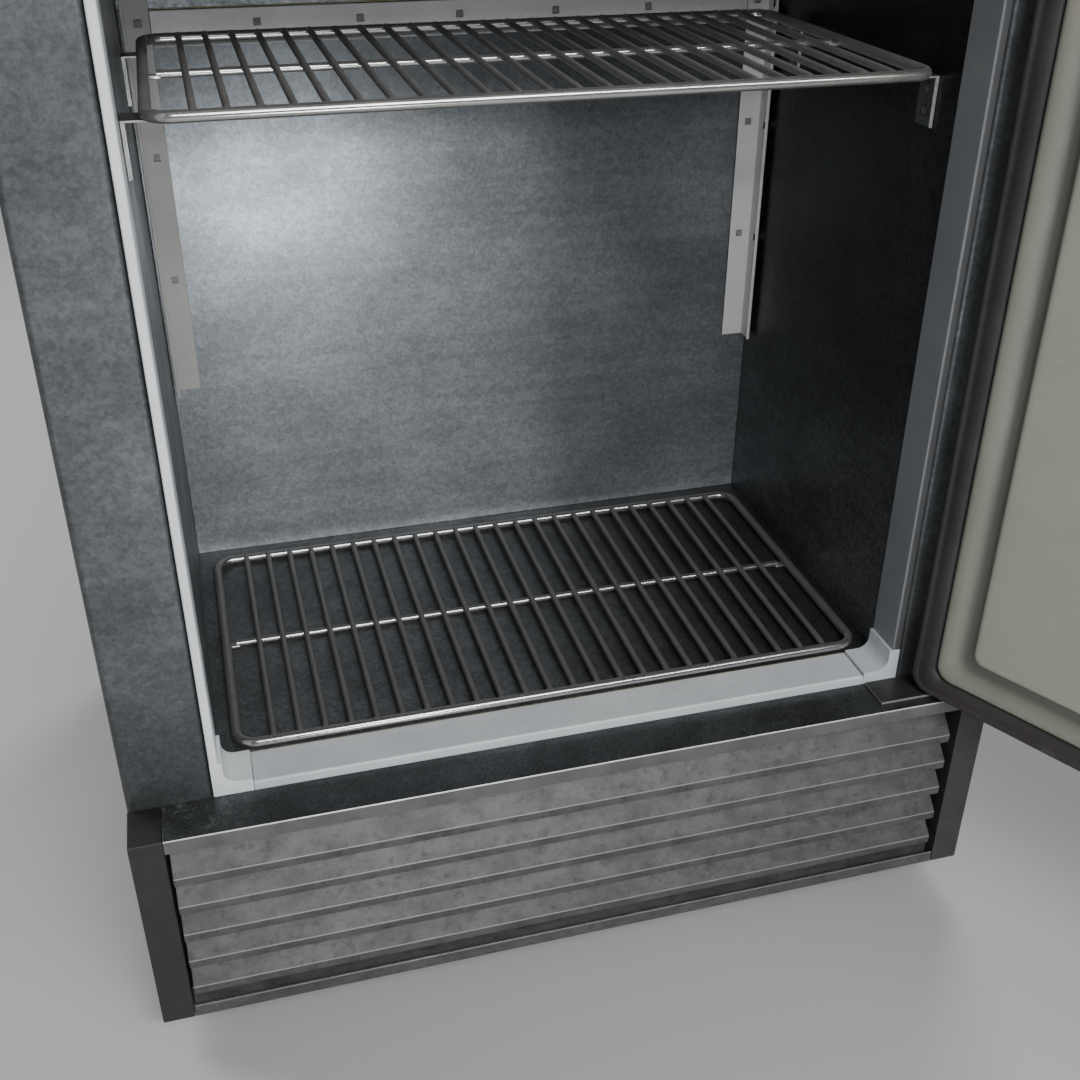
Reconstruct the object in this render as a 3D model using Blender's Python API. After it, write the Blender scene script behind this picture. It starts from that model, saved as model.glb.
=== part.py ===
"""Undercounter refrigerator with its door open: one object per sub-part, in metres, +Z up.

The origin is the centre of the base pan's underside. -Y is the front.
"""

import math

import bmesh
import bpy
from mathutils import Matrix, Vector

# Cabinet
WIDTH = 0.702
DEPTH = 0.560
HEIGHT = 0.850
SHEET = 0.0015
GAP = 0.0003
HALF = WIDTH / 2
FRONT = -DEPTH / 2
BACK = DEPTH / 2
GRILLE_DEPTH = 0.0405
FACE = FRONT + GRILLE_DEPTH
DECK_Z = 0.186
SKIRT = 0.016
MACHINE_ROOF = 0.1455

# Opening and compartment
OPENING_X = -0.0018
OPENING_HALF = 0.2856
OPENING_Z = (0.1863, 0.800)
TRIM_WIDTH = 0.0066
TOP_TRIM_WIDTH = 0.0092
TRIM_BACK = FRONT + 0.0755
TRIM_PROUD = 0.0005
CORNER_PROUD = 0.0028
ROOM_X = -0.0010
ROOM_HALF = 0.2805
ROOM_Z = (0.1946, 0.7926)
ROOM_BACK = FRONT + 0.3925
PLENUM_BACK = FRONT + 0.4925
LINER_SHEET = 0.0007
TRIM_SEAM_X = (-0.2566, 0.2525)
TRIM_SEAM_Z = 0.2162
TRIM_RADIUS = 0.010
RAIL_Z = (0.664, 0.691)

# Shelves and what holds them
SHELF_WIDTH = 0.530
SHELF_DEPTH = 0.2845
ROD_RADIUS = 0.0040
CROSS_RADIUS = 0.0029
WIRE_RADIUS = 0.0030
WIRE_COUNT = 24
WIRE_PITCH = 0.02055
SHELF_X = -0.0007
LOWER_SHELF = (FRONT + 0.0799, ROOM_Z[0] + GAP + ROD_RADIUS)
UPPER_SHELF = (FRONT + 0.0880, 0.6728)
CLIP_Z = (0.632, UPPER_SHELF[1] - ROD_RADIUS - GAP)
CLIPS = (("front", FRONT + 0.106, 0.0226, 0.0175), ("rear", FRONT + 0.327, 0.018, 0.014))
HOLE = 0.006
HOLE_PITCH = 0.105

# Grille
POST_WIDTH = 0.0245
TOP_LIP = 0.0125
BOTTOM_LIP = 0.012
LOUVRE_TOP = 0.1469
LOUVRE_PITCH = 0.02885
LOUVRE_LIP = 0.0077
LOUVRE_RISE = 0.0262
LOUVRE_SET_BACK = 0.018
LOUVRE_X = (-0.3240, 0.3210)
LOUVRE_SLANT = 0.25

# Door, laid out closed and then turned about its hinge
DOOR_HALF = 0.3145
DOOR_Z = (0.190, 0.823)
DOOR_FRONT = FRONT + 0.002
PAN_BACK = FRONT + 0.0305
GASKET_FACE = FRONT + 0.0397
GASKET_WIDTH = 0.0212
DOOR_RADIUS = 0.012
HINGE = (0.3047, FRONT + 0.0216)
PIN_RADIUS = 0.004
DOOR_OPEN = math.radians(117.5)

# Machine compartment
FAN_X = -0.020
CONDENSER_Z = (0.012, 0.136)
COMPRESSOR = (0.190, 0.100, 0.074)
EVAP_FAN_Z = 0.742
LINE_X = 0.120

# Feet
FOOT_X = 0.300
FOOT_Y = (-0.190, 0.230)
FOOT_DROP = 0.026

COLOURS = {
    "galvanised": ((0.42, 0.45, 0.47), 0.9, 0.38),
    "stainless": ((0.55, 0.56, 0.57), 1.0, 0.28),
    "aluminium": ((0.62, 0.63, 0.63), 1.0, 0.32),
    "wire": ((0.33, 0.32, 0.30), 0.9, 0.35),
    "trim": ((0.68, 0.70, 0.71), 0.0, 0.35),
    "grille": ((0.30, 0.30, 0.29), 0.8, 0.42),
    "deck": ((0.10, 0.10, 0.11), 0.7, 0.30),
    "liner": ((0.64, 0.63, 0.55), 0.0, 0.42),
    "gasket": ((0.09, 0.09, 0.10), 0.0, 0.60),
    "foam": ((0.78, 0.70, 0.42), 0.0, 0.90),
    "black": ((0.03, 0.03, 0.03), 0.0, 0.45),
    "copper": ((0.62, 0.33, 0.18), 1.0, 0.35),
    "knob": ((0.12, 0.12, 0.13), 0.0, 0.40),
}


def material(name, finish):
    colour, metallic, roughness = COLOURS[finish]
    made = bpy.data.materials.new(name)
    made.use_nodes = True
    shader = made.node_tree.nodes["Principled BSDF"]
    shader.inputs["Base Color"].default_value = (*colour, 1.0)
    shader.inputs["Metallic"].default_value = metallic
    shader.inputs["Roughness"].default_value = roughness
    return made


def from_bmesh(name, shape, finish=None):
    bmesh.ops.recalc_face_normals(shape, faces=shape.faces)
    mesh = bpy.data.meshes.new(name)
    shape.to_mesh(mesh)
    shape.free()
    made = bpy.data.objects.new(name, mesh)
    bpy.context.scene.collection.objects.link(made)
    if finish:
        mesh.materials.append(material(name, finish))
    return made


def block(name, x, y, z, finish=None, bevel=0.0):
    """A box from its spans in x, y and z."""
    shape = bmesh.new()
    bmesh.ops.create_cube(shape, size=1.0)
    for vert in shape.verts:
        vert.co = Vector(
            span[0] if at < 0 else span[1] for at, span in zip(vert.co, (x, y, z))
        )
    if bevel:
        bmesh.ops.bevel(
            shape, geom=shape.edges[:], offset=bevel, segments=1, affect="EDGES"
        )
    return from_bmesh(name, shape, finish)


def place(axis, a, b, along):
    """A point from two outline coordinates and the distance along the axis of extrusion."""
    return {"X": (along, a, b), "Y": (a, along, b), "Z": (a, b, along)}[axis]


def loft(name, loops, finish=None, hollow=False):
    """Skins equal loops of points in order; the ends are capped, or joined when hollow."""
    shape = bmesh.new()
    rows = [[shape.verts.new(point) for point in loop] for loop in loops]
    pairs = list(zip(rows, rows[1:]))
    if hollow:
        pairs.append((rows[-1], rows[0]))
    else:
        shape.faces.new(rows[0])
        shape.faces.new(rows[-1])
    for below, above in pairs:
        for i in range(len(below)):
            j = (i + 1) % len(below)
            shape.faces.new((below[i], below[j], above[j], above[i]))
    return from_bmesh(name, shape, finish)


def prism(name, outline, axis, span, finish=None):
    """Extrudes a closed outline of (a, b) points along an axis."""
    loops = [[place(axis, a, b, at) for a, b in outline] for at in span]
    return loft(name, loops, finish)


def turned(name, profile, centre, axis="Z", sides=16, finish=None):
    """Turns (radius, height) points about an axis through the centre."""
    loops = []
    for radius, height in profile:
        loop = []
        for i in range(sides):
            angle = math.tau * i / sides
            point = place(axis, radius * math.cos(angle), radius * math.sin(angle), height)
            loop.append(Vector(point) + Vector(centre))
        loops.append(loop)
    return loft(name, loops, finish)


def tube(name, path, radius, sides=8, loop=False, finish=None):
    """A round bar along a path of points."""
    points = [Vector(point) for point in path]
    count = len(points)
    rows = []
    for i, point in enumerate(points):
        ahead = points[(i + 1) % count] if loop or i < count - 1 else point
        behind = points[i - 1] if loop or i > 0 else point
        along = (ahead - behind).normalized()
        side = along.cross((0, 0, 1))
        if side.length < 1e-3:
            side = along.cross((1, 0, 0))
        side.normalize()
        up = side.cross(along)
        rows.append(
            [
                point
                + radius * math.cos(math.tau * (k + 0.5) / sides) * side
                + radius * math.sin(math.tau * (k + 0.5) / sides) * up
                for k in range(sides)
            ]
        )
    return loft(name, rows, finish, hollow=loop)


def combine(target, tools, operation):
    """Applies exact Booleans of the tools to the target and removes the tools."""
    for tool in tools:
        step = target.modifiers.new(operation.title(), "BOOLEAN")
        step.operation = operation
        step.solver = "EXACT"
        step.object = tool
    graph = bpy.context.evaluated_depsgraph_get()
    mesh = bpy.data.meshes.new_from_object(target.evaluated_get(graph))
    target.modifiers.clear()
    target.data = mesh
    for tool in tools:
        bpy.data.objects.remove(tool)
    return target


def cut(target, *tools):
    return combine(target, tools, "DIFFERENCE")


def join(target, *tools):
    return combine(target, tools, "UNION")


def blocks(name, spans):
    """Several separate boxes in one object, for cutting many openings at once."""
    shape = bmesh.new()
    for span in spans:
        made = bmesh.ops.create_cube(shape, size=1.0)["verts"]
        for vert in made:
            vert.co = Vector(
                side[0] if at < 0 else side[1] for at, side in zip(vert.co, span)
            )
    return from_bmesh(name, shape)


def rounded(a, b, radius, steps=4):
    """A rectangle's outline, over spans a and b, with rounded corners."""
    outline = []
    corners = ((a[1], b[1], 0), (a[0], b[1], 90), (a[0], b[0], 180), (a[1], b[0], 270))
    for x, z, start in corners:
        cx = x - math.copysign(radius, x - sum(a) / 2)
        cz = z - math.copysign(radius, z - sum(b) / 2)
        for i in range(steps + 1):
            angle = math.radians(start + 90 * i / steps)
            outline.append((cx + radius * math.cos(angle), cz + radius * math.sin(angle)))
    return outline


def mid(span, size):
    return span - size / 2, span + size / 2


def make_shell():
    pad = block("pad", (-0.20, 0.20), (-0.15, 0.15), (0, 0.0023))
    deep = (FACE + 0.001, BACK - 0.002)
    pan = block("base_pan", (-0.3490, 0.3490), deep, (0.0008, 0.0023), "galvanised")
    flanges = [
        block("flange", sorted((s * 0.3475, s * 0.3490)), deep, (0.0010, 0.016))
        for s in (-1, 1)
    ]
    join(pan, pad, *flanges)
    holes = [
        turned("hole", [(0.0057, -0.01), (0.0057, 0.02)], (s * FOOT_X, y, 0))
        for s in (-1, 1)
        for y in FOOT_Y
    ]
    cut(pan, *holes)

    for s, side in ((-1, "left"), (1, "right")):
        bend = 0.0045
        edge = OPENING_HALF + s * OPENING_X + 0.0010
        hem = 0.0035
        corner = [
            (s * (HALF - bend * (1 - math.cos(a))), FACE + bend * (1 - math.sin(a)))
            for a in (0, math.pi / 6, math.pi / 3, math.pi / 2)
        ]
        inner = [
            (
                s * (HALF - SHEET - (bend - SHEET) * (1 - math.cos(a))),
                FACE + SHEET + (bend - SHEET) * (1 - math.sin(a)),
            )
            for a in (math.pi / 2, math.pi / 3, math.pi / 6, 0)
        ]
        roll = [
            (s * (edge + hem * (1 - math.sin(a))), FACE + hem * (1 - math.cos(a)))
            for a in (0, math.pi / 6, math.pi / 3, math.pi / 2)
        ]
        under = [
            (
                s * (edge + hem - (hem - SHEET) * math.sin(a)),
                FACE + hem - (hem - SHEET) * math.cos(a),
            )
            for a in (math.pi / 2, math.pi / 3, math.pi / 6, 0)
        ]
        outline = [(s * HALF, BACK - 0.002)] + corner + roll
        outline += [(s * edge, FACE + 0.0055), (s * (edge + SHEET), FACE + 0.0055)]
        outline += under + inner + [(s * (HALF - SHEET), BACK - 0.002)]
        span = (0.0, HEIGHT - SHEET - GAP)
        panel = prism(f"side_panel_{side}", outline, "Z", span, "galvanised")
        across = sorted((s * 0.20, s * (HALF + 0.01)))
        fold = (FACE - 0.01, FACE + 0.0058)
        cut(
            panel,
            block("below", across, fold, (-0.01, OPENING_Z[0] - SKIRT)),
            block("above", across, fold, (OPENING_Z[1] - GAP, HEIGHT)),
        )

    back = block(
        "back_panel", (-HALF, HALF), (BACK - SHEET, BACK), (0.0, HEIGHT - SHEET - GAP), "galvanised"
    )
    slots = [
        (mid(x, 0.09), (BACK - 0.01, BACK + 0.01), mid(0.030 + 0.014 * row, 0.005))
        for x in (-0.04, 0.08, 0.20)
        for row in range(6)
    ]
    slots.append((mid(-0.265, 0.050), (BACK - 0.01, BACK + 0.01), mid(0.090, 0.030)))
    cut(back, blocks("slots", slots))

    bend = 0.003
    apron = [(BACK, HEIGHT)]
    apron += [
        (FACE + bend * (1 - math.sin(a)), HEIGHT - bend * (1 - math.cos(a)))
        for a in (0, math.pi / 4, math.pi / 2)
    ]
    apron += [(FACE, OPENING_Z[1] + 0.0005), (FACE + SHEET, OPENING_Z[1] + 0.0005)]
    apron += [(FACE + SHEET, HEIGHT - 0.003), (FACE + 0.003, HEIGHT - SHEET)]
    apron.append((BACK, HEIGHT - SHEET))
    prism("top_panel", apron, "X", (-HALF, HALF), "stainless")

    foam = block(
        "cabinet_foam",
        mid(0, 2 * (HALF - SHEET - 0.0004)),
        (FACE + 0.006, BACK - SHEET - 0.0008),
        (MACHINE_ROOF, HEIGHT - SHEET - 0.0008),
        "foam",
    )
    hollow = block(
        "hollow",
        mid(ROOM_X, 2 * (ROOM_HALF + LINER_SHEET + GAP)),
        (FACE - 0.01, PLENUM_BACK),
        (ROOM_Z[0] - 0.0018, ROOM_Z[1] + LINER_SHEET + GAP),
    )
    passage = turned("passage", [(0.008, 0.1), (0.008, 0.25)], (LINE_X, 0.190, 0), sides=10)
    cut(foam, hollow, passage)


def make_compartment():
    y = (TRIM_BACK + 0.0004, PLENUM_BACK - GAP)
    for s, side in ((-1, "left"), (1, "right")):
        x = sorted(ROOM_X + s * at for at in (ROOM_HALF, ROOM_HALF + LINER_SHEET))
        block(f"interior_{side}", x, y, (ROOM_Z[0] + GAP, ROOM_Z[1] - GAP), "galvanised")
    wide = mid(ROOM_X, 2 * (ROOM_HALF + LINER_SHEET))
    sheet = (ROOM_Z[0] - LINER_SHEET, ROOM_Z[0])
    floor = block("interior_floor", wide, y, sheet, "galvanised")
    passage = [(0.008, 0.1), (0.008, 0.25)]
    cut(floor, turned("passage", passage, (LINE_X, 0.190, 0), sides=10))
    block("interior_ceiling", wide, y, (ROOM_Z[1], ROOM_Z[1] + LINER_SHEET), "galvanised")
    across = mid(ROOM_X, 2 * (ROOM_HALF - GAP))
    block(
        "interior_back",
        across,
        (ROOM_BACK, ROOM_BACK + LINER_SHEET),
        (ROOM_Z[0] + GAP, RAIL_Z[1] + 0.0005),
        "galvanised",
    )

    cover = block(
        "evaporator_cover",
        across,
        (ROOM_BACK, ROOM_BACK + 0.001),
        (RAIL_Z[1] + 0.0012, ROOM_Z[1] - GAP),
        "galvanised",
    )
    through = (ROOM_BACK - 0.01, ROOM_BACK + 0.01)
    slots = [
        (mid(0, 0.080), through, mid(EVAP_FAN_Z - 0.032 + 0.008 * i, 0.0045)) for i in range(9)
    ]
    slots += [
        (mid(s * (0.225 - 0.011 * i), 0.005), through, mid(EVAP_FAN_Z, 0.060))
        for s in (-1, 1)
        for i in range(6)
    ]
    cut(cover, blocks("slots", slots))

    back = ROOM_BACK - 0.0012
    pitch = [0.682, 0.682 - HOLE_PITCH, 0.682 - 2 * HOLE_PITCH, 0.682 + HOLE_PITCH]
    for s, side, wall in ((-1, "left", -0.2787), (1, "right", 0.2753)):
        leg = wall - s * 0.0215
        thick = 0.0012
        outline = [
            (wall, back),
            (leg, back),
            (leg, back - thick),
            (wall - s * thick, back - thick),
            (wall - s * thick, back - 0.0180),
            (wall - s * 0.0030, back - 0.0180),
            (wall - s * 0.0030, back - 0.0192),
            (wall, back - 0.0192),
        ]
        span = (0.3685, ROOM_Z[1] - GAP)
        pilaster = prism(f"pilaster_{side}", outline, "Z", span, "aluminium")
        through = (back - 0.01, back + 0.01)
        holes = [(mid(wall - s * 0.0122, HOLE), through, mid(z, HOLE)) for z in pitch]
        holes += [
            (mid(wall, 0.01), mid(back - 0.0115, HOLE), mid(z - 0.002, HOLE)) for z in pitch
        ]
        cut(pilaster, blocks("holes", holes))

    left, right = -0.2787 + 0.0215 + 0.0005, 0.2753 - 0.0215 - 0.0005
    outline = [
        (back, RAIL_Z[0]),
        (back - 0.0040, RAIL_Z[0]),
        (back - 0.0040, RAIL_Z[0] + 0.0012),
        (back - 0.0014, RAIL_Z[0] + 0.0030),
        (back - 0.0014, RAIL_Z[1]),
        (back, RAIL_Z[1]),
    ]
    rail = prism("rear_rail", outline, "X", (left, right), "aluminium")
    middle = -0.0065
    holes = [
        (mid(middle + 0.0836 * i, HOLE), (back - 0.01, back + 0.01), mid(0.680, HOLE))
        for i in range(-2, 3)
    ]
    cut(rail, blocks("holes", holes))


def make_trim():
    """The breaker frame: plain strips on four sides and a thicker corner at each lower end."""
    front = FACE - TRIM_PROUD
    back = FACE + 0.0010
    thick = 0.0014
    edge = 0.0008
    bend = 0.0020
    low = OPENING_Z[0] + 0.0002
    skirt = OPENING_Z[0] - SKIRT
    floor = ROOM_Z[0] - 0.0006
    arc = (0, math.pi / 6, math.pi / 3, math.pi / 2)
    for s, side in ((-1, "left"), (1, "right")):
        outer = OPENING_X + s * OPENING_HALF
        inner = outer - s * TRIM_WIDTH
        outline = [
            (outer - s * edge, front),
            (outer, front + edge),
            (outer, back),
            (inner + s * thick, back),
            (inner + s * thick, TRIM_BACK),
            (inner, TRIM_BACK),
        ]
        outline += [
            (inner + s * bend * (1 - math.cos(a)), front + bend * (1 - math.sin(a))) for a in arc
        ]
        span = (TRIM_SEAM_Z + 0.0002, OPENING_Z[1] - TOP_TRIM_WIDTH - 0.0006)
        prism(f"breaker_{side}", outline, "Z", span, "trim")

    top = OPENING_Z[1]
    outline = [
        (front, top - edge),
        (front, top - TOP_TRIM_WIDTH + edge),
        (front + edge, top - TOP_TRIM_WIDTH),
        (back, top - TOP_TRIM_WIDTH),
        (back, top),
        (front + edge, top),
    ]
    sides = (OPENING_X - OPENING_HALF, OPENING_X + OPENING_HALF)
    flange = prism("breaker_top", outline, "X", sides, "trim")
    under = (top - TOP_TRIM_WIDTH, top - TOP_TRIM_WIDTH + thick)
    across = mid(ROOM_X, 2 * (ROOM_HALF - GAP))
    join(flange, block("leg", across, (front + 0.001, TRIM_BACK), under))

    outline = [(front, low), (front, floor - bend)]
    outline += [
        (front + bend * (1 - math.cos(a)), floor - bend * (1 - math.sin(a))) for a in arc[1:]
    ]
    outline += [
        (TRIM_BACK, floor),
        (TRIM_BACK, ROOM_Z[0] - 0.0014),
        (back, ROOM_Z[0] - 0.0014),
        (back, skirt),
        (FACE + GAP, skirt),
        (FACE + GAP, low),
    ]
    prism("breaker_bottom", outline, "X", TRIM_SEAM_X, "trim")

    for s, side, seam in ((-1, "left", TRIM_SEAM_X[0]), (1, "right", TRIM_SEAM_X[1])):
        outer = OPENING_X + s * OPENING_HALF
        inner = outer - s * (TRIM_WIDTH + CORNER_PROUD)
        deep = outer - s * (TRIM_WIDTH - 0.0004)
        end = seam + s * 0.0004
        raised = floor + CORNER_PROUD
        base = ROOM_Z[0] - 0.0006
        top = TRIM_SEAM_Z - 0.0002
        middle = (inner - s * TRIM_RADIUS, raised + TRIM_RADIUS)

        def fillet(radius):
            return [
                (middle[0] + s * radius * math.sin(a), middle[1] - radius * math.cos(a))
                for a in (math.radians(15 * i) for i in range(7))
            ]

        face = [(end, low), (end, raised)] + fillet(TRIM_RADIUS) + [(inner, top)]
        face += [(outer, top), (outer, low)]
        corner = prism(f"breaker_corner_{side}", face, "Y", (front, back), "trim")
        leg = [(end, base), (end, raised)] + fillet(TRIM_RADIUS) + [(inner, top)]
        leg += [(deep, top), (deep, base)]
        skirting = block("skirt", sorted((end, outer)), (FACE + GAP, back), (skirt, low + edge))
        join(corner, prism("leg", leg, "Y", (front + 0.0005, TRIM_BACK)), skirting)


def make_shelf(name, front, height):
    """A welded wire shelf: a round rim, a cross rod with flattened ends, and the wires."""
    rear = front + SHELF_DEPTH
    corner = rounded(mid(SHELF_X, SHELF_WIDTH), (front, rear), 0.016, steps=4)
    rim = tube(name, [(x, y, height) for x, y in corner], ROD_RADIUS, 8, loop=True, finish="wire")
    middle = (front + rear) / 2
    reach = SHELF_WIDTH / 2 - 0.001
    level = height - 0.0010
    path = [(SHELF_X - reach + 0.008, middle, level), (SHELF_X + reach - 0.008, middle, level)]
    parts = [tube("cross", path, CROSS_RADIUS, 8)]
    for s in (-1, 1):
        x = sorted((SHELF_X + s * reach, SHELF_X + s * (reach - 0.011)))
        tab = (height - 0.0036, height - 0.0006)
        parts.append(block("tab", x, mid(middle - 0.001, 0.0070), tab, bevel=0.0006))
    shape = bmesh.new()
    for i in range(WIRE_COUNT):
        x = SHELF_X + (i - (WIRE_COUNT - 1) / 2) * WIRE_PITCH
        rows = []
        ends = (
            (front + 0.0020, 0.0008, 1.0),
            (rear - 0.0005, 0.0020, 1.0),
            (rear + 0.0010, 0.0020, 0.6),
        )
        for y, rise, scale in ends:
            radius = WIRE_RADIUS * scale
            rows.append(
                [
                    shape.verts.new(
                        (
                            x + radius * math.cos(math.tau * (k + 0.5) / 8),
                            y,
                            height + rise + radius * math.sin(math.tau * (k + 0.5) / 8),
                        )
                    )
                    for k in range(8)
                ]
            )
        shape.faces.new(rows[0])
        shape.faces.new(rows[-1])
        for near, far in zip(rows, rows[1:]):
            for k in range(8):
                shape.faces.new((near[k - 1], near[k], far[k], far[k - 1]))
    parts.append(from_bmesh("wires", shape))
    return join(rim, *parts)


def make_clips():
    """Shelf clips: a plate on the wall, a ledge under the shelf and a turned front edge."""
    thick = 0.0014
    for s, side in ((-1, "left"), (1, "right")):
        wall = ROOM_X + s * (ROOM_HALF - 0.0004)
        for where, y, length, reach in CLIPS:
            outline = [
                (wall, CLIP_Z[0]),
                (wall, CLIP_Z[1]),
                (wall - s * reach, CLIP_Z[1]),
                (wall - s * reach, CLIP_Z[1] - thick),
                (wall - s * thick, CLIP_Z[1] - thick),
                (wall - s * thick, CLIP_Z[0]),
            ]
            name = f"shelf_clip_{side}_{where}"
            clip = prism(name, outline, "Y", (y, y + length), "aluminium")
            x = sorted((wall, wall - s * 0.0028))
            edge = (CLIP_Z[0] + 0.0005, CLIP_Z[1] - 0.0005)
            join(clip, block("edge", x, (y + 0.0002, y + 0.0016), edge))


def make_grille():
    behind = FACE - 0.0005
    for s, side in ((-1, "left"), (1, "right")):
        inside = s * (HALF - POST_WIDTH)
        x = sorted((s * HALF, inside))
        post = block(f"grille_post_{side}", x, (FRONT, behind), (0, DECK_Z), "grille")
        hollow = sorted((s * (HALF - SHEET), inside + s * SHEET))
        cut(post, block("hollow", hollow, (FRONT + SHEET, 0), (-0.01, DECK_Z - SHEET)))

    span = mid(0, 2 * (HALF - POST_WIDTH - 0.0004))
    lip = DECK_Z - TOP_LIP
    bend = 0.0016
    outline = [
        (behind, DECK_Z),
        (FRONT + bend, DECK_Z),
        (FRONT + 0.3 * bend, DECK_Z - 0.3 * bend),
        (FRONT, DECK_Z - bend),
        (FRONT, lip),
        (FRONT + SHEET, lip),
        (FRONT + SHEET, DECK_Z - SHEET - 0.001),
        (FRONT + SHEET + 0.001, DECK_Z - SHEET),
        (behind, DECK_Z - SHEET),
    ]
    prism("grille_top_rail", outline, "X", span, "deck")
    outline = [
        (FRONT, 0),
        (behind, 0),
        (behind, SHEET),
        (FRONT + 0.0115, SHEET),
        (FRONT + 0.0115, 0.0225),
        (FRONT + 0.0100, 0.0225),
        (FRONT + 0.0100, SHEET),
        (FRONT + SHEET, SHEET),
        (FRONT + SHEET, BOTTOM_LIP),
        (FRONT, BOTTOM_LIP),
    ]
    prism("grille_bottom_rail", outline, "X", span, "grille")

    for i in range(5):
        top = LOUVRE_TOP - i * LOUVRE_PITCH
        thick = 0.0012
        outline = [
            (FRONT + 0.0008, top - LOUVRE_LIP),
            (FRONT + 0.0008 + thick, top - LOUVRE_LIP),
            (FRONT + 0.0008 + thick, top - 0.0006),
            (FRONT + LOUVRE_SET_BACK, top + LOUVRE_RISE - 0.0016),
            (FRONT + LOUVRE_SET_BACK, top + LOUVRE_RISE),
            (FRONT + 0.0008, top),
        ]
        louvre = prism(f"louvre_{i + 1}", outline, "X", LOUVRE_X, "grille")
        for vert in louvre.data.vertices:
            if vert.co.x > 0:
                vert.co.x -= LOUVRE_SLANT * (vert.co.y - FRONT)


def fan_blade(name, centre, radius, depth, count, finish, flip=1):
    """A hub with twisted flat blades, turning about Y."""
    profile = [(0.22 * radius, -depth / 2), (0.22 * radius, depth / 2)]
    hub = turned(name, profile, (0, 0, 0), "Y", 12, finish)
    blades = []
    for i in range(count):
        rows = []
        for r, pitch, half in ((0.15, 40, 0.16), (0.6, 30, 0.30), (1.0, 22, 0.34)):
            tilt = flip * math.radians(pitch)
            rows.append(
                [
                    (
                        a * half * radius * math.cos(tilt) + b * 0.0009 * math.sin(tilt),
                        a * half * radius * math.sin(tilt) * 0.62 - b * 0.0009 * math.cos(tilt),
                        r * radius,
                    )
                    for a, b in ((-1, -1), (1, -1), (1, 1), (-1, 1))
                ]
            )
        blade = loft("blade", rows)
        blade.data.transform(Matrix.Rotation(math.tau * i / count, 4, "Y"))
        blades.append(blade)
    join(hub, *blades)
    hub.location = centre
    return hub


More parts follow.
